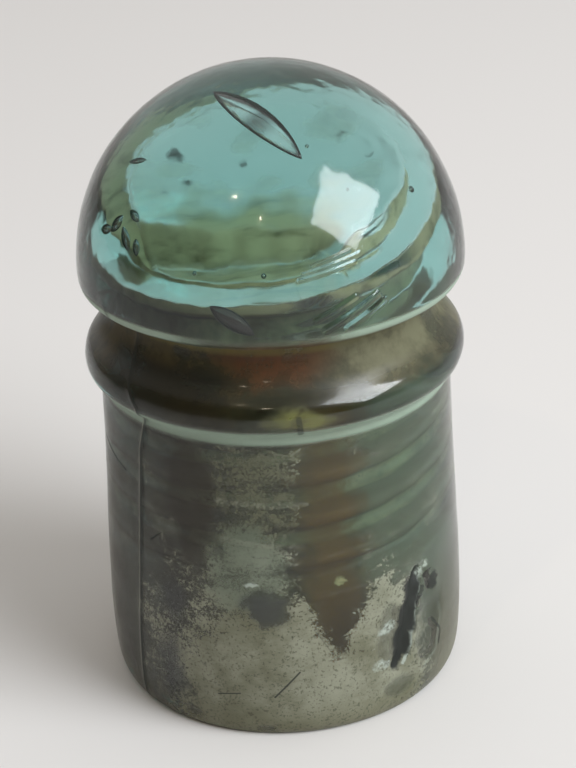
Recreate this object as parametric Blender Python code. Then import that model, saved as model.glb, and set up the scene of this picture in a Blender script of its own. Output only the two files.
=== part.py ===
# Fence insulator: one piece of pressed glass that screws onto a threaded wooden or steel pin.
# The form is a turned one: a domed crown, a wire groove, a rounded wire ridge and a skirt
# that flares a little to its foot. A blind, tapered pinhole runs up the middle, with the
# rounded thread that a screwed plunger leaves in hot glass.
#
# Metres, +Z up. The origin is the centre of the flat rim that the insulator stands on.

import math

import bmesh
import bpy
from mathutils import Vector
from mathutils.geometry import interpolate_bezier

# Heights of the outside, stacked up from the flat rim.
FOOT_HEIGHT = 0.0124
SKIRT_HEIGHT = 0.0337
RIDGE_DROP = 0.0034
RIDGE_RISE = 0.0086
LIP_HEIGHT = 0.0042
DOME_HEIGHT = 0.0267

# Radii of the outside.
RIM_RADIUS = 0.0236
FOOT_RADIUS = 0.0256
SKIRT_TOP_RADIUS = 0.0244
RIDGE_RADIUS = 0.0264
GROOVE_RADIUS = 0.0220
CROWN_RADIUS = 0.0266

# How round the turns of the outside are, as radii of curvature.
FOOT_ROUNDING = 0.0022
SHOULDER_FILLET = 0.0016
RIDGE_ROUNDING = 0.0039
GROOVE_FILLET = 0.0021
LIP_ROUNDING = 0.0048

# The pinhole and its thread: four turns to the inch, as on standard insulator pins, which
# gain one sixteenth of an inch of diameter in each inch of length.
PINHOLE_DEPTH = 0.0686
PINHOLE_END_RADIUS = 0.0160
PINHOLE_END_ROUNDING = 0.0010
PINHOLE_TAPER = 1 / 32
THREAD_PITCH = 0.00635
THREAD_DEPTH = 0.0028
PLAIN_ENTRY = 0.0180
MOUTH_ROUNDING = 0.0022

# How finely the glass is divided.
SEGMENTS = 52
ROWS_PER_TURN = 7
DOME_STEPS = 12
TURN_STEPS = 7
EDGE_STEPS = 4

# A quarter of an ellipse, drawn as one Bezier curve, has handles this share of its radii.
QUARTER = 4 / 3 * (math.sqrt(2) - 1)

# Points nearer than this are one point, and turns sharper than this show as edges.
MERGE_DISTANCE = 1e-6
SHARP_ANGLE = math.radians(40)

GLASS_COLOUR = (0.20, 0.42, 0.40, 1.0)
GLASS_ROUGHNESS = 0.12


def clear_scene():
    """Remove whatever the scene holds."""
    for old in list(bpy.data.objects):
        bpy.data.objects.remove(old, do_unlink=True)


def make_glass():
    """Aqua bottle glass, a little dulled by weather."""
    glass = bpy.data.materials.new("aqua_glass")
    glass.use_nodes = True
    glass.diffuse_color = GLASS_COLOUR
    shader = glass.node_tree.nodes["Principled BSDF"]
    shader.inputs["Base Color"].default_value = GLASS_COLOUR
    shader.inputs["Roughness"].default_value = GLASS_ROUGHNESS
    shader.inputs["Metallic"].default_value = 0.0
    return glass


def bezier(start, start_handle, end_handle, end, steps):
    """Points along a Bezier curve in the XZ plane, without the first one."""
    corners = [Vector((x, 0.0, z)) for x, z in (start, start_handle, end_handle, end)]
    return interpolate_bezier(*corners, steps + 1)[1:]


def handle(rounding, offset, reach):
    """Length of a handle that gives its end of the curve this radius of curvature.

    The offset is how far the curve's other handle lies from the tangent at this end. A
    Bezier curve's end has the radius 3/2 length^2 / offset. The reach is the room there is.
    """
    return min(math.sqrt(abs(rounding * offset) / 1.5), reach)


def waist(top, top_rounding, bottom, bottom_rounding):
    """A curve that leaves one upright tangent and arrives at another, lower down."""
    offset = bottom[0] - top[0]
    reach = top[1] - bottom[1]
    leave = handle(top_rounding, offset, reach)
    arrive = handle(bottom_rounding, offset, reach)
    return bezier(top, (top[0], top[1] - leave), (bottom[0], bottom[1] + arrive), bottom, TURN_STEPS)


def outside():
    """The outside from the top of the crown down to the flat rim."""
    foot = (FOOT_RADIUS, FOOT_HEIGHT)
    shoulder = (SKIRT_TOP_RADIUS, foot[1] + SKIRT_HEIGHT)
    ridge = (RIDGE_RADIUS, shoulder[1] + RIDGE_DROP)
    groove = (GROOVE_RADIUS, ridge[1] + RIDGE_RISE)
    crown = (CROWN_RADIUS, groove[1] + LIP_HEIGHT)
    apex = (0.0, crown[1] + DOME_HEIGHT)
    rim = (RIM_RADIUS, 0.0)
    sole = (1 - QUARTER) * FOOT_HEIGHT
    edge = handle(FOOT_ROUNDING, sole, FOOT_RADIUS - RIM_RADIUS)

    points = [Vector((apex[0], 0.0, apex[1]))]
    points += bezier(
        apex,
        (QUARTER * crown[0], apex[1]),
        (crown[0], crown[1] + QUARTER * DOME_HEIGHT),
        crown,
        DOME_STEPS,
    )
    points += waist(crown, LIP_ROUNDING, groove, GROOVE_FILLET)
    points += waist(groove, GROOVE_FILLET, ridge, RIDGE_ROUNDING)
    points += waist(ridge, RIDGE_ROUNDING, shoulder, SHOULDER_FILLET)
    points.append(Vector((foot[0], 0.0, foot[1])))
    points += bezier(foot, (foot[0], sole), (rim[0] + edge, 0.0), rim, EDGE_STEPS)
    return points


def pinhole_radius(height):
    """Radius of the pinhole's plain wall, at the root of the thread."""
    return PINHOLE_END_RADIUS + PINHOLE_TAPER * (PINHOLE_DEPTH - height)


def pinhole():
    """The pinhole from its mouth up to its closed end."""
    mouth = (pinhole_radius(MOUTH_ROUNDING), MOUTH_ROUNDING)
    points = bezier(
        (mouth[0] + MOUTH_ROUNDING, 0.0),
        (mouth[0] + (1 - QUARTER) * MOUTH_ROUNDING, 0.0),
        (mouth[0], (1 - QUARTER) * MOUTH_ROUNDING),
        mouth,
        EDGE_STEPS,
    )
    points.insert(0, Vector((mouth[0] + MOUTH_ROUNDING, 0.0, 0.0)))

    wall_top = PINHOLE_DEPTH - PINHOLE_END_ROUNDING
    turns = (wall_top - PLAIN_ENTRY) / THREAD_PITCH
    rows = max(1, round(turns * ROWS_PER_TURN))
    for row in range(rows + 1):
        height = PLAIN_ENTRY + (wall_top - PLAIN_ENTRY) * row / rows
        points.append(Vector((pinhole_radius(height), 0.0, height)))

    side = pinhole_radius(wall_top)
    points += bezier(
        (side, wall_top),
        (side, wall_top + QUARTER * PINHOLE_END_ROUNDING),
        (side - (1 - QUARTER) * PINHOLE_END_ROUNDING, PINHOLE_DEPTH),
        (side - PINHOLE_END_ROUNDING, PINHOLE_DEPTH),
        EDGE_STEPS,
    )
    points.append(Vector((0.0, 0.0, PINHOLE_DEPTH)))
    return points


def in_pinhole(point):
    """Whether a point of the glass lies on the pinhole's wall."""
    reach = pinhole_radius(point.z) + MERGE_DISTANCE
    return point.z < PINHOLE_DEPTH and math.hypot(point.x, point.y) < reach


def press_thread(wall):
    """Push the pinhole's wall inwards along a right-hand helix, fading out at both ends."""
    top = PINHOLE_DEPTH - PINHOLE_END_ROUNDING
    for vertex in wall:
        height = vertex.co.z
        fade = min(1.0, (height - PLAIN_ENTRY) / THREAD_PITCH, (top - height) / THREAD_PITCH)
        if fade <= 0.0:
            continue
        around = math.atan2(vertex.co.y, vertex.co.x)
        wave = math.cos(math.tau * height / THREAD_PITCH - around)
        inwards = THREAD_DEPTH * fade * (1 + wave) / 2
        radius = math.hypot(vertex.co.x, vertex.co.y)
        vertex.co.x *= 1 - inwards / radius
        vertex.co.y *= 1 - inwards / radius


def make_glass_body():
    """Turn the outline once round the axis, then press the thread into the pinhole."""
    body = bmesh.new()
    outer = [body.verts.new(point) for point in outside()]
    inner = [body.verts.new(point) for point in pinhole()]
    outline = outer + inner
    edges = [body.edges.new(pair) for pair in zip(outline, outline[1:])]
    bmesh.ops.spin(
        body,
        geom=outline + edges,
        axis=(0.0, 0.0, 1.0),
        cent=(0.0, 0.0, 0.0),
        steps=SEGMENTS,
        angle=math.tau,
        use_merge=True,
    )
    bmesh.ops.remove_doubles(body, verts=body.verts, dist=MERGE_DISTANCE)
    press_thread([vertex for vertex in body.verts if in_pinhole(vertex.co)])
    bmesh.ops.recalc_face_normals(body, faces=body.faces)

    mesh = bpy.data.meshes.new("glass_body")
    body.to_mesh(mesh)
    body.free()
    mesh.materials.append(make_glass())
    mesh.shade_smooth()
    mesh.set_sharp_from_angle(angle=SHARP_ANGLE)
    glass_body = bpy.data.objects.new("glass_body", mesh)
    bpy.context.scene.collection.objects.link(glass_body)
    return glass_body


clear_scene()
make_glass_body()
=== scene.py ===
import math

import bmesh
import bpy
from mathutils import Matrix, Quaternion, Vector, noise
from mathutils.geometry import interpolate_bezier


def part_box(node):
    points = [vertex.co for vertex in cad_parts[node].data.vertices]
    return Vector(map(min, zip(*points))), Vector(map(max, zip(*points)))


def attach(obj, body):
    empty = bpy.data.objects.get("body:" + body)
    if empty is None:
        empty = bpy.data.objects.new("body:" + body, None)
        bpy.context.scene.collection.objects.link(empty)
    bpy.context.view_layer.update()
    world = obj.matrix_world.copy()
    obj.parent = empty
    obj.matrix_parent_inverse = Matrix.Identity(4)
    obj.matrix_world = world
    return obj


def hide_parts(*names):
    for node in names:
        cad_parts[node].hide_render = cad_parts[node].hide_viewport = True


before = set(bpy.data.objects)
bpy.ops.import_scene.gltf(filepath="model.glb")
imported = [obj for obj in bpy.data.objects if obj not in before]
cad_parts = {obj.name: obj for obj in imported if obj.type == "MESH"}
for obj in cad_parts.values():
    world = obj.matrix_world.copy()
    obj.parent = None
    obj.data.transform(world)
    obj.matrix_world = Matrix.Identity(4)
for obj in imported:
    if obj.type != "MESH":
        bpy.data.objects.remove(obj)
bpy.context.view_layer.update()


# ---------------------------------------------------------------------------------------
# The cloth and the daylight.
# A pale cloth lies flat under the insulator. A soft sky is all round, one broad window
# stands to the right in front, and two small room lamps are high up on the left.
# ---------------------------------------------------------------------------------------

CLOTH_COLOUR = (0.72, 0.70, 0.69, 1.0)
CLOTH_ROUGHNESS = 0.9
CLOTH_REACH = 1.5
SKY_BRIGHT = (0.68, 0.67, 0.65, 1.0)
SKY_DIM = (0.15, 0.12, 0.09, 1.0)
WINDOW_SIZE = (0.74, 0.70)
WINDOW_COLOUR = (0.93, 0.97, 1.0)
WINDOW_ROLL = math.radians(35)
ROOM_LAMP_SIZE = (0.048, 0.048)
ROOM_LAMP_COLOUR = (1.0, 0.84, 0.62)


class Value:
    """A number in a material, for use in ordinary sums."""

    def __init__(self, shader, socket):
        self.shader = shader
        self.socket = socket

    def sum(self, operation, *values):
        return self.shader.node("ShaderNodeMath", {"operation": operation}, *values)

    def __add__(self, other):
        return self.sum("ADD", self, other)

    def __radd__(self, other):
        return self.sum("ADD", other, self)

    def __sub__(self, other):
        return self.sum("SUBTRACT", self, other)

    def __rsub__(self, other):
        return self.sum("SUBTRACT", other, self)

    def __mul__(self, other):
        return self.sum("MULTIPLY", self, other)

    def __rmul__(self, other):
        return self.sum("MULTIPLY", other, self)

    def __truediv__(self, other):
        return self.sum("DIVIDE", self, other)

    def __rtruediv__(self, other):
        return self.sum("DIVIDE", other, self)

    def __pow__(self, other):
        return self.sum("POWER", self, other)

    def at_least(self, other):
        return self.sum("MAXIMUM", self, other)

    def at_most(self, other):
        return self.sum("MINIMUM", self, other)

    def step(self, low, high):
        """0 at low and 1 at high, smooth between; high may be the lower of the two."""
        return self.shader.node(
            "ShaderNodeMapRange",
            {"interpolation_type": "SMOOTHSTEP"},
            **{"Value": self, "From Min": low, "From Max": high},
        )

    def band(self, low, high, soft):
        """1 between low and high, with soft edges."""
        return self.step(low - soft, low + soft) * self.step(high + soft, high - soft)


class Shader:
    """A material, or the sky, being put together."""

    def __init__(self, owner, end="ShaderNodeOutputMaterial"):
        self.owner = owner
        owner.use_nodes = True
        self.tree = owner.node_tree
        self.tree.nodes.clear()
        self.end = self.tree.nodes.new(end)

    def feed(self, socket, value):
        if isinstance(value, Value):
            self.tree.links.new(value.socket, socket)
        else:
            socket.default_value = value

    def node(self, kind, settings=None, *values, out=0, **named):
        """A new node's output; its settings are set first, then its sockets."""
        made = self.tree.nodes.new(kind)
        for name, value in (settings or {}).items():
            setattr(made, name, value)
        for socket, value in zip(made.inputs, values):
            self.feed(socket, value)
        for name, value in named.items():
            self.feed(made.inputs[name], value)
        return Value(self, made.outputs[out])

    def place(self, kind="Object"):
        """Coordinates, whole and as x, y and z."""
        where = self.node("ShaderNodeTexCoord")
        where = Value(self, where.socket.node.outputs[kind])
        parts = self.node("ShaderNodeSeparateXYZ", None, where).socket.node.outputs
        return where, *(Value(self, part) for part in parts)

    def stretched(self, where, scale):
        """Coordinates multiplied, each way by its own number."""
        return self.node("ShaderNodeVectorMath", {"operation": "MULTIPLY"}, where, scale)

    def kept(self, name):
        """A number that the mesh keeps at each vertex."""
        return self.node("ShaderNodeAttribute", {"attribute_name": name}, out=2)

    def grain(self, where, size, detail=3.0, rough=0.5):
        """Cloudy noise from 0 to 1 whose largest clouds are about this many metres."""
        return self.node(
            "ShaderNodeTexNoise",
            None,
            **{"Vector": where, "Scale": 1 / size, "Detail": detail, "Roughness": rough},
        )

    def blend(self, share, first, second):
        """A colour between two others."""
        mix = self.node("ShaderNodeMix", {"data_type": "RGBA"}, out=2).socket.node
        self.feed(mix.inputs[0], share)
        self.feed(mix.inputs[6], first)
        self.feed(mix.inputs[7], second)
        return Value(self, mix.outputs[2])

    def painted(self, colour, *coats):
        """A colour with others laid over it in turn, each with the share that it hides."""
        for share, coat in coats:
            colour = self.blend(share, colour, coat)
        return colour

    def bump(self, height, depth):
        return self.node("ShaderNodeBump", None, **{"Height": height, "Distance": depth})

    def over(self, share, below, above):
        return self.node("ShaderNodeMixShader", None, share, below, above)

    def finish(self, surface, volume=None):
        self.tree.links.new(surface.socket, self.end.inputs["Surface"])
        if volume is not None:
            self.tree.links.new(volume.socket, self.end.inputs["Volume"])
        return self.owner


def link(obj):
    bpy.context.scene.collection.objects.link(obj)
    return obj


def to_object(name, shape, material):
    mesh = bpy.data.meshes.new(name)
    shape.to_mesh(mesh)
    shape.free()
    mesh.materials.append(material)
    mesh.shade_smooth()
    return link(bpy.data.objects.new(name, mesh))


cloth_shader = Shader(bpy.data.materials.new("pale_cloth"))
cloth = cloth_shader.node(
    "ShaderNodeBsdfPrincipled",
    None,
    **{"Base Color": CLOTH_COLOUR, "Roughness": CLOTH_ROUGHNESS},
)
sheet = bmesh.new()
bmesh.ops.create_grid(sheet, x_segments=1, y_segments=1, size=CLOTH_REACH)
to_object("table_cloth", sheet, cloth_shader.finish(cloth))

# The sky is brightest high up at the back right.
sky = Shader(bpy.data.worlds.new("soft_daylight"), "ShaderNodeOutputWorld")
_, east, north, overhead = sky.place("Generated")
open_sky = (east * 0.45 + north * 0.60 + overhead * 0.66).step(-0.25, 0.55)
daylight = sky.node("ShaderNodeBackground", None, sky.blend(open_sky, SKY_DIM, SKY_BRIGHT), 1.0)
bpy.context.scene.world = sky.finish(daylight)


def hang_lamp(name, place, target, size, power, colour, roll=0.0):
    """An area lamp at a place, turned to its target."""
    lamp = bpy.data.lights.new(name, "AREA")
    lamp.shape = "RECTANGLE"
    lamp.size, lamp.size_y = size
    lamp.energy = power
    lamp.color = colour
    holder = link(bpy.data.objects.new(name, lamp))
    aim = (Vector(target) - Vector(place)).to_track_quat("-Z", "Y").to_matrix().to_4x4()
    holder.matrix_world = Matrix.Translation(place) @ aim @ Matrix.Rotation(roll, 4, "Z")


hang_lamp(
    "window", (0.80, -0.50, 0.75), (0, 0, 0.05), WINDOW_SIZE, 15.5, WINDOW_COLOUR, WINDOW_ROLL
)
for name, place, power in (
    ("room_lamp_left", (-0.35, -0.64, 1.04), 0.36),
    ("room_lamp_front", (-0.11, -0.89, 0.89), 0.30),
):
    hang_lamp(name, place, (0, 0, 0.08), ROOM_LAMP_SIZE, power, ROOM_LAMP_COLOUR)


# ---------------------------------------------------------------------------------------
# The glass body.
# One gather of aqua bottle glass, pressed in a two-part mould round a threaded plunger,
# which was then screwed out. The outline is turned once round the axis; the thread, the
# uneven end of the pinhole and the mould seams are then pressed into it.
# ---------------------------------------------------------------------------------------

body_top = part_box("glass_body")[1]
HEIGHT = body_top.z
CROWN_RADIUS = body_top.x

# Heights and radii of the outside.
FOOT_TOP = 0.0124
SHOULDER = 0.0461
RIDGE = 0.0495
GROOVE = 0.0581
CROWN = 0.0623
RIM_RADIUS = 0.0236
FOOT_RADIUS = 0.0256
SHOULDER_RADIUS = 0.0244
RIDGE_RADIUS = 0.0264
GROOVE_RADIUS = 0.0220

# How round its turns are, as radii, and how far the slope from groove to ridge leans out.
FOOT_ROUNDING = 0.0022
SHOULDER_FILLET = 0.0016
RIDGE_ROUNDING = 0.0039
GROOVE_FILLET = 0.0021
LIP_ROUNDING = 0.0048
GROOVE_BEND = 0.0063
RIDGE_BEND = 0.0040
SLOPE_TILT = math.radians(48)

# The pinhole, its thread, and the height of the thread's last ledge at the right. The plunger
# rubbed the wall clean in places high up, and its end leans, which lifts the last turns.
PIN_DEPTH = 0.0686
PIN_RADIUS = 0.0132
PIN_TAPER = 1 / 32
THREAD_PITCH = 0.00635
THREAD_DEPTH = 0.0028
THREAD_LOW = 0.0180
THREAD_HIGH = 0.0685
THREAD_FADE = 0.0018
LEDGE_HEIGHT = 0.0665
MOUTH_ROUNDING = 0.0022
RUBBED_ABOVE = 0.0560
LEANING_ABOVE = 0.0600

TURN_STEPS = 256
PIN_STEPS = ((THREAD_LOW, 6), (0.0500, 42), (0.0575, 15), (0.0610, 35), (PIN_DEPTH, 76))
SAME_PLACE = 1e-6

# A quarter of an ellipse, drawn as one Bezier curve, has handles this share of its radii.
QUARTER = 4 / 3 * (math.sqrt(2) - 1)


def smooth(value, start, end):
    """0 at start and 1 at end, smooth between; end may be the lower of the two."""
    share = min(1.0, max(0.0, (value - start) / (end - start)))
    return share * share * (3 - 2 * share)


def curve(start, start_handle, end_handle, end, steps):
    """Points along a Bezier curve in the XZ plane, without the first one."""
    corners = [Vector((x, 0.0, z)) for x, z in (start, start_handle, end_handle, end)]
    return interpolate_bezier(*corners, steps + 1)[1:]


def straight(start, end, steps):
    """Points along a straight line in the XZ plane, without the first one."""
    a, b = (Vector((x, 0.0, z)) for x, z in (start, end))
    return [a.lerp(b, step / steps) for step in range(1, steps + 1)]


def handle(rounding, offset, reach):
    """How long a handle gives its end of the curve this radius of curvature."""
    return min(math.sqrt(abs(rounding * offset) / 1.5), reach)


def waist(top, top_rounding, bottom, bottom_rounding, steps):
    """A curve between two upright tangents."""
    offset = bottom[0] - top[0]
    reach = top[1] - bottom[1]
    leave = handle(top_rounding, offset, reach)
    arrive = handle(bottom_rounding, offset, reach)
    return curve(top, (top[0], top[1] - leave), (bottom[0], bottom[1] + arrive), bottom, steps)


def ridge_slope(top, bottom):
    """An arc from upright at the groove, a short straight, and an arc to upright below."""
    out, down = math.sin(SLOPE_TILT), math.cos(SLOPE_TILT)
    reach = 4 / 3 * math.tan(SLOPE_TILT / 4)
    a = (top[0] + (1 - down) * GROOVE_BEND, top[1] - out * GROOVE_BEND)
    b = (bottom[0] - (1 - down) * RIDGE_BEND, bottom[1] + out * RIDGE_BEND)
    a_handle = (a[0] - reach * GROOVE_BEND * out, a[1] + reach * GROOVE_BEND * down)
    b_handle = (b[0] + reach * RIDGE_BEND * out, b[1] - reach * RIDGE_BEND * down)
    points = curve(top, (top[0], top[1] - reach * GROOVE_BEND), a_handle, a, 9)
    points += straight(a, b, 2)
    points += curve(b, b_handle, (bottom[0], bottom[1] + reach * RIDGE_BEND), bottom, 9)
    return points


def outside():
    """The outside, from the top of the crown down to the flat rim."""
    apex, crown = (0.0, HEIGHT), (CROWN_RADIUS, CROWN)
    groove, ridge = (GROOVE_RADIUS, GROOVE), (RIDGE_RADIUS, RIDGE)
    shoulder, foot = (SHOULDER_RADIUS, SHOULDER), (FOOT_RADIUS, FOOT_TOP)
    rim = (RIM_RADIUS, 0.0)
    swell = CROWN + QUARTER * (HEIGHT - CROWN)
    sole = (1 - QUARTER) * FOOT_TOP
    edge = handle(FOOT_ROUNDING, sole, FOOT_RADIUS - RIM_RADIUS)
    points = [Vector((0.0, 0.0, HEIGHT))]
    points += curve(apex, (QUARTER * CROWN_RADIUS, HEIGHT), (CROWN_RADIUS, swell), crown, 40)
    points += waist(crown, LIP_ROUNDING, groove, GROOVE_FILLET, 16)
    points += ridge_slope(groove, ridge)
    points += waist(ridge, RIDGE_ROUNDING, shoulder, SHOULDER_FILLET, 14)
    points += straight(shoulder, foot, 46)
    points += curve(foot, (FOOT_RADIUS, sole), (RIM_RADIUS + edge, 0.0), rim, 22)
    return points


def pin_crest(height):
    """Radius of the pinhole at the crest of its thread."""
    return PIN_RADIUS + PIN_TAPER * (PIN_DEPTH - height)


def pin_root(height):
    """Radius of the pinhole at the root of its thread."""
    return pin_crest(height) + THREAD_DEPTH


def inside():
    """The pinhole, plain as yet, from the flat rim up to its closed end."""
    mouth = (pin_root(MOUTH_ROUNDING), MOUTH_ROUNDING)
    lip = mouth[0] + MOUTH_ROUNDING
    lip_handle = (lip - QUARTER * MOUTH_ROUNDING, 0.0)
    mouth_handle = (mouth[0], (1 - QUARTER) * MOUTH_ROUNDING)
    points = straight((RIM_RADIUS, 0.0), (lip, 0.0), 3)
    points += curve((lip, 0.0), lip_handle, mouth_handle, mouth, 6)
    base = MOUTH_ROUNDING
    for top, steps in PIN_STEPS:
        points += straight((pin_root(base), base), (pin_root(top), top), steps)
        base = top
    points += straight((points[-1].x, PIN_DEPTH), (0.0, PIN_DEPTH), 24)
    return points


glass = bmesh.new()
skin = glass.verts.layers.float.new("skin")
bare = glass.verts.layers.float.new("bare")
crest = glass.verts.layers.float.new("crest")
grime_and_rim_shade = glass.verts.layers.float.new("grime_and_rim_shade")


# Specks of grit on the end of the pinhole: x, y and size.
GRIT = (
    (-0.0077, 0.0073, 0.00045),
    (-0.0072, 0.0029, 0.00035),
    (-0.0098, 0.0020, 0.00022),
    (-0.0020, 0.0050, 0.00025),
    (0.0064, 0.0085, 0.00030),
    (0.0090, 0.0050, 0.00022),
)


def press_pinhole(vertex):
    """Move a vertex of the plain pinhole to the threaded wall or the uneven end.

    A flat ledge tops each root of the thread, and at the front left the end steps down to
    the last one. The ledges and the end are the parts that hang over the hole and stay
    free of dirt, but for a patch in the front half of the end.
    """
    x, y, height = vertex.co
    radius = math.hypot(x, y)
    around = math.atan2(y, x)
    degrees = math.degrees(around)
    stepped = smooth(degrees, -176, -152) * smooth(degrees, -42, -66)
    ledge = LEDGE_HEIGHT + THREAD_PITCH * around / math.tau

    # The thread. It turns once in each pitch, and its ledges lean more at the front left.
    turn = ((height - LEDGE_HEIGHT) / THREAD_PITCH - around / math.tau) % 1.0
    leaning = (0.5 + 0.5 * math.cos(around + math.radians(130))) ** 1.5
    ledge_share = 0.11 + 0.12 * leaning
    fall = min(1.0, max(0.0, (turn - 1 + ledge_share) / ledge_share))
    root = smooth(turn, 0.30, 0.60) * (1 - 0.8 * fall - 0.2 * smooth(fall, 0.0, 1.0))
    if height > ledge:
        root *= 1 - stepped
    tip = smooth(height, THREAD_HIGH, THREAD_HIGH - THREAD_FADE)
    entry = smooth(height, THREAD_LOW, THREAD_LOW + THREAD_PITCH)
    wall = pin_crest(height) + THREAD_DEPTH * max(1 - entry, tip * root)
    wall += 0.0003 * noise.noise(Vector((3 * math.cos(around), 3 * math.sin(around), height * 150)))
    reach = pin_root(height)
    vertex.co.x = x * wall / reach
    vertex.co.y = y * wall / reach
    vertex[crest] = entry * (1 - root)

    # The end. It leans, it is lumpy, and it is wrinkled at the back right.
    share = radius / reach
    edge = 0.60 + 0.24 * ((degrees + 97) / 53) ** 2
    edge += 0.05 * noise.noise(Vector((math.cos(around), math.sin(around), 0.0)) * 3)
    stepped *= smooth(share, edge - 0.08, edge + 0.08)
    lean = 0.0007 * vertex.co.x / PIN_RADIUS + 0.0009 * vertex.co.y / PIN_RADIUS
    lumps = 0.00018 * noise.noise(Vector((x, y, 0.0)) * 160)
    wrinkled = smooth(share, 0.60, 0.85) * smooth(abs(around - math.radians(52)), 0.5, 0.25)
    lumps += 0.00035 * wrinkled * math.sin(radius * 5200 + 4 * around)
    vertex.co.z += smooth(height, LEANING_ABOVE, PIN_DEPTH) * (lean + lumps)
    if height > ledge:
        rise = 0.0004 * (height - ledge) / (PIN_DEPTH - ledge) + lumps
        foot = ledge + smooth(ledge, LEANING_ABOVE, PIN_DEPTH) * lean + rise
        vertex.co.z += stepped * (foot - vertex.co.z)

    # Where the dirt has not stuck.
    streak = 0.5 + 0.5 * noise.noise(Vector((4 * around, radius * 500, 0.0)))
    on_ledge = (turn > 0.99 - ledge_share or turn < 0.015) and RUBBED_ABOVE < height < THREAD_HIGH
    if height > PIN_DEPTH - SAME_PLACE:
        ragged = 0.0018 * noise.noise(Vector((x, y, 0.02)) * 300)
        patch = smooth(-vertex.co.y + 2 * ragged, -0.0030, 0.0062)
        patch *= smooth(abs(vertex.co.x + 0.0010) + ragged, 0.0108, 0.0062)
        patch = max(patch, smooth(share, edge - 0.12, edge) * smooth(degrees, -60, -85))
        patch *= 1 - smooth(share, edge + 0.01, edge + 0.09) * smooth(degrees, -42, -60)
        stain = smooth(noise.noise(Vector((x, y, 0.05)) * 220), 0.10, 0.45)
        left = smooth(vertex.co.x + 0.5 * vertex.co.y, -0.0040, -0.0110)
        vertex[bare] = (1 - patch) * (1 - 0.22 * stain) * (1 - 0.30 * left)
        vertex[bare] *= 1 - stepped * (0.15 + 0.35 * streak)
        for grit_x, grit_y, grit_size in GRIT:
            if math.hypot(vertex.co.x - grit_x, vertex.co.y - grit_y) < grit_size:
                vertex[grime_and_rim_shade] = 0.95
    elif on_ledge:
        vertex[bare] = 1 - smooth(degrees, -40, -70) * (0.15 + 0.35 * streak)
    elif height > RUBBED_ABOVE:
        rubbed = noise.noise(Vector((around * 2.0, 0.0, height * 520)))
        vertex[bare] = smooth(rubbed, 0.0, 0.3) * smooth(abs(around + math.radians(55)), 0.75, 0.35)


# The mould seam stands this high and wide, and draws the glass together on both sides. Its
# path is given as heights and degrees round from the front; its partner is half a turn on.
SEAM_HEIGHT = 0.00020
SEAM_WIDTH = 0.00028
SEAM_GATHER = 0.0030
SEAM_PATH = ((0.0, -55.3), (0.0415, -49.4), (0.0489, -44.8), (0.0550, -54.9), (0.0623, -56.0))


def seam_around(height):
    """Where the mould seam runs, in radians to the right of the front."""
    for (low_end, start), (high_end, end) in zip(SEAM_PATH, SEAM_PATH[1:]):
        if height <= high_end:
            break
    share = min(1.0, max(0.0, (height - low_end) / (high_end - low_end)))
    return math.radians(start + share * (end - start))


# Shell-shaped chips: degrees round from the front, height, half width, half height, depth.
CHIPS = (
    (51.5, 0.0125, 0.0034, 0.0072, 0.00065),
    (35.0, 0.0130, 0.0030, 0.0060, 0.00050),
    (38.0, 0.0042, 0.0030, 0.0020, 0.00050),
    (49.0, 0.0205, 0.0020, 0.0017, 0.00060),
    (-33.0, 0.0025, 0.0017, 0.0009, 0.00030),
    (-8.0, 0.0012, 0.0015, 0.0008, 0.00025),
)

# The crack on the right of the front, as degrees round from the front and heights, and how
# deep and wide its broken edge is.
CRACK_LINE = (
    (47.0, 0.0210),
    (45.2, 0.0196),
    (44.9, 0.0178),
    (42.6, 0.0164),
    (42.2, 0.0136),
    (39.8, 0.0120),
    (39.6, 0.0102),
    (36.4, 0.0078),
)
CRACK_DEPTH = 0.0009
CRACK_REACH = 0.0016


def notch(around, height, radius):
    """How deep the crack's broken edge is at a place on the outside."""
    if height > 0.0230 or not 0.55 < around < 0.90:
        return 0.0
    away = CRACK_REACH
    for (low_turn, low_end), (high_turn, high_end) in zip(CRACK_LINE, CRACK_LINE[1:]):
        a = Vector((math.radians(low_turn) * radius, low_end))
        b = Vector((math.radians(high_turn) * radius, high_end)) - a
        here = Vector((around * radius, height)) - a
        here -= b * min(1.0, max(0.0, here.dot(b) / b.length_squared))
        away = min(away, here.length)
    return CRACK_DEPTH * smooth(away, CRACK_REACH, 0.0002)


def press_outside(vertex):
    """Give the outside its slight waves, its two mould seams, its chips and its crack."""
    x, y, height = vertex.co
    radius = math.hypot(x, y)
    vertex[skin] = 1.0
    if radius < SAME_PLACE:
        return
    around = math.atan2(x, -y)
    wave = noise.noise(vertex.co * 70) + 0.5 * noise.noise(vertex.co * 180)
    sink = 0.00022 * (0.5 + 0.5 * wave) * smooth(height, 0.0, 0.004)
    for turned in (0.0, math.pi) if height < CROWN else ():
        seam = seam_around(height) + turned
        aside = radius * ((around - seam + math.pi) % math.tau - math.pi)
        if abs(aside) < SEAM_GATHER:
            aside *= abs(aside) / SEAM_GATHER
            around = seam + aside / radius
            ridge = math.exp(-((aside / SEAM_WIDTH) ** 2))
            sink = max(0.0, sink - SEAM_HEIGHT * ridge)
            vertex[grime_and_rim_shade] = 0.85 * math.exp(-(((aside - 0.00025) / 0.00024) ** 2))
    for degrees, middle, wide, tall, deep in CHIPS:
        aside = radius * (around - math.radians(degrees)) / wide
        ragged = 0.35 * noise.noise(vertex.co * 400)
        off = aside**2 + ((height - middle) / tall) ** 2 + ragged
        if off < 1.0:
            sink += deep * (1.0 - off) * smooth(height, 0.0, 0.002)
            vertex[bare] = 0.4 * smooth(off, 1.0, 0.5)
    sink += notch(around, height, radius)
    vertex.co.x = math.sin(around) * (radius - sink)
    vertex.co.y = -math.cos(around) * (radius - sink)


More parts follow.
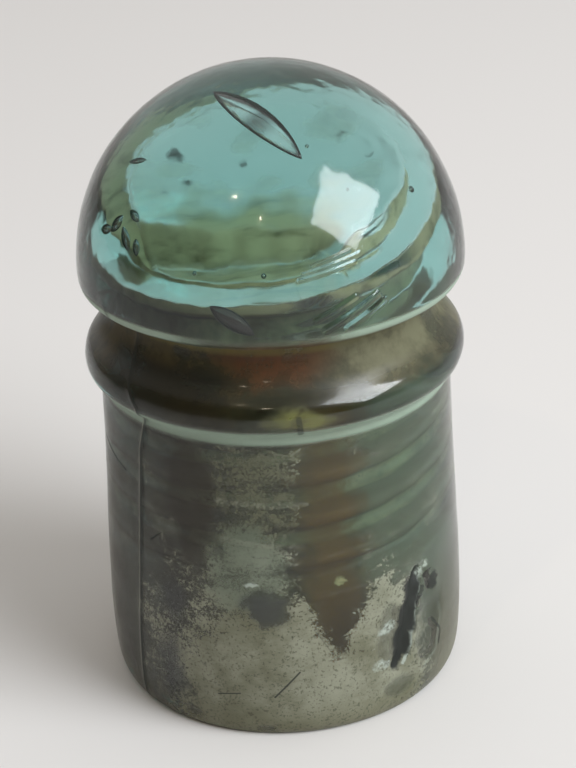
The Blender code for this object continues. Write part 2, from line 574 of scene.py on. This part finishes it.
outline = [glass.verts.new(point) for point in outside() + inside()]
outline_edges = [glass.edges.new(pair) for pair in zip(outline, outline[1:])]
bmesh.ops.spin(
    glass,
    geom=outline + outline_edges,
    axis=(0.0, 0.0, 1.0),
    cent=(0.0, 0.0, 0.0),
    steps=TURN_STEPS,
    angle=math.tau,
    use_merge=True,
)
bmesh.ops.remove_doubles(glass, verts=glass.verts, dist=SAME_PLACE)
for vertex in glass.verts:
    radius = math.hypot(vertex.co.x, vertex.co.y)
    height = vertex.co.z
    in_hole = radius < pin_root(height) + SAME_PLACE and height < PIN_DEPTH + SAME_PLACE
    if in_hole and height > MOUTH_ROUNDING - SAME_PLACE:
        press_pinhole(vertex)
    elif (
        radius > GROOVE_RADIUS - SAME_PLACE
        or height > PIN_DEPTH + SAME_PLACE
        or height < SAME_PLACE
    ):
        press_outside(vertex)
bmesh.ops.recalc_face_normals(glass, faces=glass.faces)


# ---------------------------------------------------------------------------------------
# The gas and the cracks in the glass.
# Bubbles were drawn out as the gather was pressed, and a blow has left cracks behind the
# front of the skirt. Each is a hollow in the glass body's own mesh, facing into the gas.
# ---------------------------------------------------------------------------------------

# How deep under the outside the cracks start, and how far they gape.
CRACK_SKIN = 0.0008
CRACK_GAPE = 0.00012

gas = bmesh.new()
clean_wall = gas.verts.layers.float.new("bare")
dirt_and_rim_shade = gas.verts.layers.float.new("grime_and_rim_shade")


def on_skin(degrees, height, depth):
    """A place this deep under the outside, with its outward and its rightward direction."""
    around = math.radians(degrees)
    out = Vector((math.sin(around), -math.cos(around), 0.0))
    right = Vector((math.cos(around), math.sin(around), 0.0))
    if height > CROWN:
        up = (height - CROWN) / (HEIGHT - CROWN)
        radius = CROWN_RADIUS * math.sqrt(max(0.0, 1 - up * up))
        normal = (out * radius + Vector((0, 0, height - CROWN))).normalized()
    else:
        radius = SHOULDER_RADIUS + (FOOT_RADIUS - SHOULDER_RADIUS) * (1 - height / SHOULDER)
        normal = out
    return out * radius + Vector((0, 0, height)) - normal * depth, normal, right


def hollow(verts, clean):
    """Turn new faces to look into the gas that they hold."""
    faces = list({face for vertex in verts for face in vertex.link_faces})
    bmesh.ops.recalc_face_normals(gas, faces=faces)
    middle = sum((vertex.co for vertex in verts), Vector()) / len(verts)
    spans = [
        face.normal.dot(face.calc_center_median() - middle) * face.calc_area() for face in faces
    ]
    if sum(spans) > 0:
        bmesh.ops.reverse_faces(gas, faces=faces)
    for vertex in verts:
        vertex[clean_wall] = clean


def blow_bubble(degrees, height, depth, size, turn, dirt=0.0, sag=0.0, tip=0.0, rim=0.0):
    """A bubble of some length, width and thickness, drawn out to two points.

    It is turned this many degrees from level and tipped about its length. Its rim is
    darkened with painted shade, as a dark outline, and scum gathers across its waist.
    """
    rings = 16 if size[0] > 0.005 else 9
    made = bmesh.ops.create_uvsphere(gas, u_segments=2 * rings - 4, v_segments=rings, radius=1.0)
    made = made["verts"]
    centre, normal, right = on_skin(degrees, height, depth)
    rising = normal.cross(right)
    along = right * math.cos(math.radians(turn)) + rising * math.sin(math.radians(turn))
    normal.rotate(Quaternion(along, math.radians(tip)))
    across = normal.cross(along)
    for vertex in made:
        a, b, c = vertex.co.z, vertex.co.x, vertex.co.y
        point = math.sqrt(max(0.0, 1 - a * a)) ** 0.6
        place = centre + along * (a * size[0] / 2) + across * (b * point * size[1] / 2)
        vertex.co = place + normal * (c * point * size[2] / 2 - sag * a * a)
        # Painted shade: a dark outline round the bubble's rim.
        rim_shade = smooth(math.hypot(a, b), 0.80, 0.97) * (abs(c) < 0.6)
        waist_scum = 0.5 * smooth(abs(a - 0.05), 0.22, 0.08)
        vertex[dirt_and_rim_shade] = max(dirt, rim * rim_shade, rim * waist_scum)
    hollow(made, clean=1.0)


def crack(path, lean, depth, clean, dirt, seed):
    """A crack that starts at a line on the outside and dives into the glass."""
    made = bmesh.ops.create_grid(gas, x_segments=20, y_segments=8, size=0.5)["verts"]
    faces = list({face for vertex in made for face in vertex.link_faces})
    for vertex in made:
        along = (vertex.co.x + 0.5) * (len(path) - 1)
        down = vertex.co.y + 0.5
        first = min(int(along), len(path) - 2)
        share = along - first
        degrees = path[first][0] * (1 - share) + path[first + 1][0] * share
        height = path[first][1] * (1 - share) + path[first + 1][1] * share
        uneven = noise.noise(Vector((along * 0.9, down * 1.4, seed)))
        fade = math.sin(math.pi * min(1.0, max(0.0, along / (len(path) - 1)))) ** 0.5
        start = CRACK_SKIN + notch(math.radians(degrees), height, FOOT_RADIUS)
        place, normal, right = on_skin(degrees, height, start + depth * down * fade)
        vertex.co = place + right * (lean * down * fade) + (right + normal) * (0.0004 * uneven)
    made = bmesh.ops.solidify(gas, geom=faces, thickness=CRACK_GAPE)["geom"]
    verts = {vertex for face in faces for vertex in face.verts}
    verts |= {part for part in made if isinstance(part, bmesh.types.BMVert)}
    for vertex in verts:
        vertex[dirt_and_rim_shade] = dirt
    hollow(list(verts), clean)


# The long blade-shaped bubble in the crown, and the dark one behind its lip.
# Their rims are darkened with painted shade.
blow_bubble(-5.5, 0.0866, 0.0015, (0.0168, 0.0038, 0.0012), -45, sag=0.0012, tip=4, rim=0.95)
blow_bubble(-11.6, 0.0643, 0.0014, (0.0066, 0.0024, 0.0014), -33, dirt=0.70, rim=1.0)
# The broken cluster at the left, flat and dirty, then round seeds.
for degrees, height, depth, length, width, turn in (
    (-56.0, 0.0735, 0.0012, 0.0030, 0.0016, 60),
    (-50.5, 0.0722, 0.0016, 0.0034, 0.0015, -50),
    (-60.5, 0.0722, 0.0010, 0.0026, 0.0014, 20),
    (-50.0, 0.0752, 0.0020, 0.0024, 0.0012, -20),
    (-46.0, 0.0716, 0.0022, 0.0022, 0.0012, -70),
    (-60.5, 0.0806, 0.0010, 0.0034, 0.0009, 25),
):
    blow_bubble(degrees, height, depth, (length, width, 0.0007), turn, dirt=0.35)
for degrees, height, depth, size, dirt in (
    (22.0, 0.0842, 0.0030, 0.0005, 0.0),
    (-2.0, 0.0702, 0.0016, 0.0007, 0.0),
    (32.0, 0.0790, 0.0030, 0.0005, 0.0),
    (-24.0, 0.0700, 0.0030, 0.0006, 0.3),
    (60.0, 0.0760, 0.0030, 0.0009, 0.2),
    (120.0, 0.0780, 0.0030, 0.0008, 0.0),
    (-140.0, 0.0740, 0.0025, 0.0009, 0.0),
):
    blow_bubble(degrees, height, depth, (size, size, size), 0, dirt=dirt)

# The dirty crack, the clean one that runs left from it, the shell-shaped one and two chinks:
# path, lean, depth, how clean the walls are, how dark the dirt in it is, and a seed.
for path, lean, depth, clean, dirt, seed in (
    (CRACK_LINE, -0.0019, 0.0012, 0.2, 0.97, 1.0),
    (
        ((43.0, 0.0180), (41.0, 0.0150), (38.0, 0.0110), (33.0, 0.0085)),
        -0.0042, 0.0012, 1.0, 0.0, 4.0,
    ),
    (
        ((54.5, 0.0119), (58.6, 0.0094), (55.1, 0.0068), (50.0, 0.0064), (46.3, 0.0076)),
        -0.0007, 0.0009, 0.5, 0.7, 7.0,
    ),
    (((54.9, 0.0200), (55.6, 0.0185), (54.0, 0.0168)), -0.0008, 0.0008, 0.2, 0.9, 9.0),
    (((50.0, 0.0166), (48.6, 0.0158), (47.0, 0.0154)), -0.0006, 0.0008, 0.2, 0.9, 11.0),
):
    crack(path, lean, depth, clean, dirt, seed)

held_gas = bpy.data.meshes.new("held_gas")
gas.to_mesh(held_gas)
gas.free()
glass.from_mesh(held_gas)
bpy.data.meshes.remove(held_gas)


# ---------------------------------------------------------------------------------------
# The finish of the glass.
# Clear aqua glass with soil from the pin baked on inside, rust and moss in the wire
# groove, and a pale, speckled bloom on the skirt where rain and earth have eaten it.
# ---------------------------------------------------------------------------------------

GLASS_IOR = 1.52
GLASS_TINT = (0.38, 0.80, 0.78, 1)
TINT_PER_METRE = 42.0
FIRE_POLISH = 0.02
WEATHERING = 0.07
RIPPLE_DEPTH = 0.00004
CLEAR = (1, 1, 1, 1)
DIRT_AND_RIM_SHADE_COLOUR = (0.007, 0.010, 0.007, 1)
EARTH_COVER = 0.94
PATINA_COVER = 0.84
DIRT_COVER = 0.88

# The skirt's middle radius in millimetres, by which a degree round it is a length.
SKIRT_MIDDLE = 25.4

aqua = Shader(bpy.data.materials.new("aqua_glass"))
where, x, y, z = aqua.place()
around = aqua.node("ShaderNodeMath", {"operation": "ARCTAN2"}, x, y * -1) * (180 / math.pi)
up = z * 1000
on_outside = aqua.kept("skin")
on_inside = 1 - on_outside
dull = 1 - aqua.kept("bare")
clouds = aqua.grain(where, 0.010, 4.0, 0.6)
specks = (aqua.grain(where, 0.0011, 5.0, 0.75) - 0.5) * 2.2
fine = aqua.grain(where, 0.0004, 3.0, 0.6)
ragged = (aqua.grain(where, 0.0045, 4.0, 0.7) - 0.5) * 2.0


def most(*shares):
    """The largest of some shares at each place."""
    found, *others = shares
    for share in others:
        found = share.at_least(found)
    return found


def patch(at_around, at_up, wide, tall, soft=0.35):
    """1 inside a ragged oval on the wall, this many degrees wide and millimetres tall."""
    aside = (around - at_around + ragged * 7) / wide
    off = (up - at_up + ragged * 2) / tall
    return (aside * aside + off * off).step(1.0 + soft, 1.0 - soft)


def scratch(first, last, width, torn=0.0, core=0.5):
    """1 along a scratch between two places, each in degrees round and millimetres up."""
    per_degree = SKIRT_MIDDLE * math.pi / 180
    a = Vector((first[0] * per_degree, first[1]))
    b = Vector((last[0] * per_degree, last[1]))
    along = (b - a).normalized()
    side = around * per_degree - a.x
    rise = up - a.y
    run = (side * along.x + rise * along.y).at_least(0).at_most((b - a).length)
    away = ((side - run * along.x) ** 2 + (rise - run * along.y) ** 2) ** 0.5
    return (away + (ragged + specks) * torn).step(width, width * core)


def scratches(path, width, torn=0.0, shift=0.0):
    """Scratches end to end, all moved this many degrees round."""
    ends = [(degrees + shift, height) for degrees, height in path]
    return most(*(scratch(first, last, width, torn) for first, last in zip(ends, ends[1:])))


# The clear glass. It is wavy above the groove, more so at the back, and folds ran over its
# front right as it was pressed: the first and last place of each, its width and its height.
waves = aqua.grain(where, 0.0034, 1.0, 0.5) * 1.6 + aqua.grain(where, 0.0017, 1.0, 0.5) * 0.45
waves = waves * up.step(58.0, 64.0) * (1 + 1.4 * y.step(0.002, 0.012))
folds = most(
    *(
        scratch(first, last, wide, core=0.0) * tall
        for first, last, wide, tall in (
            ((8.0, 69.4), (25.0, 70.6), 0.42, 2.4),
            ((9.5, 70.1), (27.0, 71.5), 0.42, 2.4),
            ((12.0, 71.0), (24.0, 72.1), 0.36, 2.0),
            ((15.0, 62.6), (31.0, 65.9), 0.80, 4.6),
            ((21.0, 62.3), (33.0, 64.9), 0.70, 4.0),
            ((12.0, 64.0), (24.0, 66.3), 0.60, 3.2),
        )
    )
)
clear = aqua.node(
    "ShaderNodeBsdfPrincipled",
    None,
    **{
        "Base Color": CLEAR,
        "Roughness": FIRE_POLISH + on_outside * WEATHERING,
        "IOR": GLASS_IOR,
        "Transmission Weight": 1.0,
        "Normal": aqua.bump(waves + folds, RIPPLE_DEPTH),
    },
)
tint = aqua.node(
    "ShaderNodeVolumeAbsorption", None, **{"Color": GLASS_TINT, "Density": TINT_PER_METRE}
)

# Soil baked on the wall of the pinhole: brown and moss-coloured in streaks down the wall,
# and mossy round the pinhole's end. It is paler on the crests of the thread, partly as pale
# soil and partly as a painted highlight, and it is painted darker on the left as shade.
streaks = around + ragged * 10
drawn = (aqua.grain(aqua.stretched(where, (0.22, 1.0, 1.0)), 0.0022, 3.0, 0.6) - 0.5) * 2.0
rust_streak = streaks.band(8, 33, 9) * up.step(60, 50)
# The pale crests: partly pale soil, partly a painted highlight, fewer on the shaded left.
crests = aqua.kept("crest").step(0.80, 1.0) * (ragged + drawn * 0.4).step(-0.6, 0.5)
crests = crests * (1 - around.band(-110, -45, 15) * 0.55) * (1 - rust_streak * 0.75)
moss = aqua.blend(drawn.step(-0.55, 0.1), (0.15, 0.12, 0.05, 1), (0.56, 0.44, 0.25, 1))
soil_colour = aqua.painted(
    (0.045, 0.042, 0.018, 1),
    (clouds.step(0.35, 0.65), (0.095, 0.085, 0.036, 1)),
    (streaks.band(34, 95, 12), (0.17, 0.175, 0.105, 1)),
    # Painted shade: the soil is darker on the left and in a column at the front left.
    (streaks.band(-140, -40, 14) * 0.7, (0.040, 0.034, 0.018, 1)),
    (rust_streak, (0.200, 0.100, 0.022, 1)),
    (streaks.band(-58, -28, 8) * up.step(62, 52), (0.022, 0.018, 0.008, 1)),
    (crests * 0.60, (0.42, 0.41, 0.22, 1)),
    (up.step(60.0, 64.0) * 0.9, moss),
    (patch(24.0, 20.8, 2.4, 0.48, 0.95) * 0.85, (0.85, 0.66, 0.32, 1)),
)
earth = aqua.node(
    "ShaderNodeBsdfPrincipled",
    None,
    **{"Base Color": soil_colour, "Roughness": 0.8, "Specular IOR Level": 0.2},
)
earth_share = on_inside * dull * EARTH_COVER

# Rust and moss in the wire groove and on the slope below it, which is polished by the wire
# at the front right. At the front left the film is painted near-black as shade, and at the
# right it is paler, partly as dust and partly as a painted broad highlight.
mottled = (clouds + ragged * 0.25 + specks * 0.1).step(0.35, 0.65)
rusty = patch(1, 57.5, 19, 3.6, 0.95)
# Paler at the right: partly pale dust, partly a painted broad highlight of the window on the rough
# film.
dust_and_sheen_right = around.band(20, 100, 12) * (0.32 + 0.58 * mottled)
behind = 1 - around.band(-100, 100, 15)
polished = around.band(24, 54, 16) * (up + ragged * 0.2).step(54.2, 52.2)
film_colour = aqua.painted(
    (0.016, 0.016, 0.004, 1),
    (mottled, (0.060, 0.046, 0.014, 1)),
    (rusty * (0.6 + 0.4 * mottled), (0.085, 0.027, 0.005, 1)),
    (up.band(57.6, 59.6, 0.4) * around.band(-60, 30, 20) * 0.6, (0.15, 0.125, 0.03, 1)),
    # The paler right, partly a painted highlight.
    (dust_and_sheen_right * (0.4 + 0.6 * up.step(52, 54.5)), (0.135, 0.135, 0.078, 1)),
    (behind * 0.8, (0.060, 0.095, 0.045, 1)),
    # Painted shade: the film on the ring's front left, turned from the window, is near-black.
    (around.band(-62, -14, 10) * up.step(56, 54) * 0.85, (0.006, 0.006, 0.002, 1)),
)
film = aqua.node(
    "ShaderNodeBsdfPrincipled",
    None,
    **{
        "Base Color": film_colour,
        "Roughness": (0.30 - polished * 0.25) + 0.4 * (up + ragged * 0.25).step(52.4, 54.6),
        "Specular IOR Level": 0.4,
        "Coat Weight": polished * (0.6 + 0.4 * mottled),
        "Coat Roughness": 0.16,
    },
)
in_groove = up.band(51.5, 61.2, 0.7)
below_groove = up.band(48.5, 52.5, 0.8)
film_share = on_outside * most(
    in_groove * most(0.74 + 0.24 * mottled, around.band(5, 60, 12) * up.step(51.8, 53.6)),
    # The film below the groove at the front left carries that painted shade.
    below_groove * around.band(-66, -8, 10) * 0.8,
)

# The pale bloom has ragged, speckled edges. It lies in patches low down, half way up and
# under the shoulder, is gone where the rust shows, and covers the back.
lace = (aqua.grain(aqua.stretched(where, (1.0, 1.0, 2.4)), 0.0032, 5.0, 0.7) - 0.5) * 2.0
lower = patch(8, 5, 40, 16.5, 0.8)
facet = patch(33, 14, 9, 9.0, 0.5)
left_patch = patch(-28, 12, 26, 17, 0.98)
middle = patch(-12, 27, 14, 6.5, 0.7)
upper = patch(-9, 38, 19, 9.5, 0.8)
gone = (patch(15, 29, 9, 17, 0.5) + patch(-6, 20.9, 6.5, 2.5, 0.98) * 0.8).at_most(1)
elsewhere = 1 - around.band(-80, 80, 10)
bloom = most(lower * 1.5, facet) + left_patch * 0.42 + upper * 0.50 + middle * 0.60
bloom = bloom + elsewhere * up.step(45, 5) * 0.9 - gone * 1.6
bloom = bloom + (clouds - 0.5) * 1.2 + lace * (1.0 - 0.5 * middle)
bloom = bloom + (fine - 0.5) * (2.4 - 1.4 * middle)
bloom = bloom.step(0.15, 0.95) * up.step(46.5, 44.5)

# A thin haze lies between the patches, thicker at the left, where the glass is shaded by
# soot, where it is bruised, and low down at the right.
left = around.band(-100, -30, 12)
shade = patch(-30, 37, 9, 11, 0.7)
bruise = patch(-38, 20, 5, 3, 0.9) + patch(-40, 8.5, 5, 5.5, 0.9)
bruise = (bruise + patch(-6.5, 21, 7.5, 2.6, 0.98) * 1.1).at_most(1)
low_right = around.band(52, 120, 10) * up.step(26, 4)
haze = 0.05 + 0.10 * clouds.step(0.4, 0.7) + left * (0.20 + 0.25 * ragged.step(-0.4, 0.5))
haze = haze * up.step(46.5, 45.5) * (1 - gone * 0.8)
haze = most(haze, shade * 0.65, bruise * 0.55, low_right * 0.75)

# More of the same: on the back of the crown, in crusts along the turns and the seam, and in
# a yellow stain. The pale lines on the edges of lip and shoulder are painted highlights, and
# the pale flecks by the crack are painted glints.
crack_on_wall = [(degrees, height * 1000) for degrees, height in CRACK_LINE]
seam_on_wall = [(degrees, height * 1000) for height, degrees in SEAM_PATH[:3]]
chip_edge = [(50.0, 21.5), (56.5, 18.5), (58.5, 12.0), (55.0, 6.5), (47.0, 5.0)]
crown_back = (around.step(-75, -110) + around.step(150, 170)).at_most(1)
crown_back = crown_back * up.band(65, 83, 3) * 0.15
# Painted highlights: pale lines along the lower edges of the lip and of the shoulder.
shoulder_edge_highlight = up.band(45.6, 48.4, 0.5) * (0.66 + 0.34 * clouds)
lip_edge_highlight = up.band(60.5, 61.8, 0.4) * (0.95 - 0.75 * patch(-3, 61, 22, 6, 0.9))
edges = shoulder_edge_highlight + lip_edge_highlight
crust = most(
    scratches([(-47.5, 33.6), (-42.3, 31.9), (-37.0, 31.0)], 0.6, 0.3),
    scratches([(-20.0, 37.2), (-10.0, 36.9), (8.0, 36.7)], 0.6, 0.3),
    scratches([(-19.0, 31.5), (-6.0, 30.8), (6.0, 30.5)], 0.5, 0.3) * 0.7,
)
crust = crust * specks.step(-0.6, 0.5) * 0.55
crust = most(crust, scratches(seam_on_wall, 0.16, 0.06, -0.7) * 0.7)
yellow = patch(7, 49.9, 10, 1.6, 0.95) * (0.5 + 0.5 * lace.step(-0.3, 0.4))
# Painted glints: pale flecks on the broken glass by the crack and along the chip, and one at the
# front left.
painted_glints = patch(48.5, 20.9, 2.6, 1.2, 0.9) + patch(33.7, 14.5, 3.0, 0.9, 0.9)
painted_glints = (painted_glints + patch(31.5, 9.3, 4.0, 0.7, 0.9)) * specks.step(-0.4, 0.1)
painted_glints = most(
    painted_glints,
    patch(-10.5, 24.7, 1.8, 0.5, 0.9),
    scratches(chip_edge, 0.30, 0.2) * specks.step(-0.6, 0.4) * 0.4,
    scratches(crack_on_wall, 0.32, 0.25, 2.9) * specks.step(-0.5, 0.1),
)
bloom_colour = aqua.painted(
    (0.150, 0.152, 0.098, 1),
    ((clouds + ragged * 0.18 + lace * 0.15).step(0.30, 0.72), (0.295, 0.305, 0.230, 1)),
    (upper * up.step(28, 33) * 0.85, (0.080, 0.083, 0.048, 1)),
    (middle * 0.50, (0.155, 0.205, 0.16, 1)),
    # Dark where the bloom is thin; the extra dark at the left is painted shade.
    (bloom.step(0.5, 0.1) * (0.3 + 0.7 * left), (0.040, 0.036, 0.020, 1)),
    (left * (lace + clouds).step(0.55, 1.0) * 0.5, (0.13, 0.125, 0.090, 1)),
    (around.step(48, 60) * up.step(26, 10) * 0.7, (0.110, 0.105, 0.070, 1)),
    (shade * 0.9, (0.026, 0.019, 0.011, 1)),
    (bruise * 0.8, (0.060, 0.064, 0.066, 1)),
    (up.step(7, 1) * 0.7, (0.150, 0.148, 0.088, 1)),
    (
        (fine + specks * 0.25).step(0.46, 0.34) * (0.55 - 0.4 * middle) * (1 - bruise),
        (0.05, 0.052, 0.030, 1),
    ),
    (crown_back * 6, (0.070, 0.105, 0.052, 1)),
    # The painted highlight lines on lip and shoulder.
    (edges * 1.5, (0.30, 0.39, 0.31, 1)),
    (crust, (0.30, 0.31, 0.245, 1)),
    (yellow, (0.21, 0.22, 0.065, 1)),
    # The painted glints.
    (painted_glints, (0.42, 0.48, 0.42, 1)),
)
patina = aqua.node(
    "ShaderNodeBsdfPrincipled",
    None,
    **{
        "Base Color": bloom_colour,
        "Roughness": 0.5,
        "Specular IOR Level": 0.3,
        "Normal": aqua.bump(specks, RIPPLE_DEPTH),
    },
)
patina_share = most(bloom * PATINA_COVER, haze) * dull
patina_share = on_outside * most(
    patina_share, crown_back, edges, crust, yellow * 0.7, painted_glints * 0.8
)

# Dark dirt in the scratches, along the crack and the seam, and as grit low at the left. The
# same dark colour on the rims of bubbles is painted shade.
grit = patch(-37, 4.5, 6, 3.5, 0.9) * specks.step(-0.1, 0.25)
grit = (grit + patch(-24, 11, 5, 7, 0.9) * specks.step(0.15, 0.4) * 0.7).at_most(0.9)
marks = most(
    scratch((-78, 38.5), (-58.8, 36.8), 0.24),
    scratch((-46.5, 28.2), (-41.7, 30.0), 0.16),
    scratch((-4.6, 7.0), (3.4, 11.0), 0.17),
    scratch((-22.9, 6.7), (-15.6, 7.3), 0.13),
    scratch((8.5, 17.5), (14.0, 13.2), 0.12) * 0.4,
    scratches(crack_on_wall, 1.1, 0.5) * 1.15,
    scratches(crack_on_wall[1:7], 1.5, 0.4, -1.9) * 1.15,
    scratches(crack_on_wall[1:5], 2.1, 0.5) * 1.15,
    scratches(crack_on_wall[5:7], 1.9, 0.5) * 1.15,
    scratch((6.0, 50.4), (6.6, 48.0), 0.45, 0.2) * 0.7,
    patch(54.9, 18.1, 1.8, 1.6, 0.6),
    patch(49.2, 17.7, 1.6, 0.8, 0.6) * 0.8,
    scratches(seam_on_wall, 0.22, 0.1, 0.2) * 0.9,
    grit,
    scratches([(54.5, 11.9), (58.0, 9.4), (57.0, 7.4)], 0.28, 0.2) * 0.8,
)
dirt = aqua.node(
    "ShaderNodeBsdfPrincipled", None, **{"Base Color": DIRT_AND_RIM_SHADE_COLOUR, "Roughness": 0.6}
)
dirt_and_rim_shade_share = most(aqua.kept("grime_and_rim_shade"), on_outside * marks * DIRT_COVER)

surface = aqua.over(earth_share, clear, earth)
surface = aqua.over(film_share, surface, film)
surface = aqua.over(patina_share, surface, patina)
surface = aqua.over(dirt_and_rim_shade_share, surface, dirt)
glass_body = to_object("pressed_glass", glass, aqua.finish(surface, tint))
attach(glass_body, "root")
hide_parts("glass_body")


# ---------------------------------------------------------------------------------------
# The camera.
# A long lens looks from in front and above, and is held a little crooked.
# ---------------------------------------------------------------------------------------

CAMERA_DISTANCE = 3.467 * HEIGHT
CAMERA_ASIDE = 0.0016
CAMERA_RISE = math.radians(26.3)
CAMERA_DROP = math.radians(26.65)
CAMERA_ROLL = math.radians(2.5)

camera = bpy.data.cameras.new("camera")
camera.lens = 103.1
camera.sensor_width = 36.0
camera.clip_start = 0.01
camera_holder = link(bpy.data.objects.new("camera", camera))
camera_back = CAMERA_DISTANCE * math.cos(CAMERA_RISE)
camera_up = HEIGHT / 2 + CAMERA_DISTANCE * math.sin(CAMERA_RISE)
look = Matrix.Rotation(math.pi / 2 - CAMERA_DROP, 4, "X") @ Matrix.Rotation(-CAMERA_ROLL, 4, "Z")
camera_holder.matrix_world = Matrix.Translation((CAMERA_ASIDE, -camera_back, camera_up)) @ look
bpy.context.scene.camera = camera_holder
bpy.context.scene.view_settings.view_transform = "Standard"
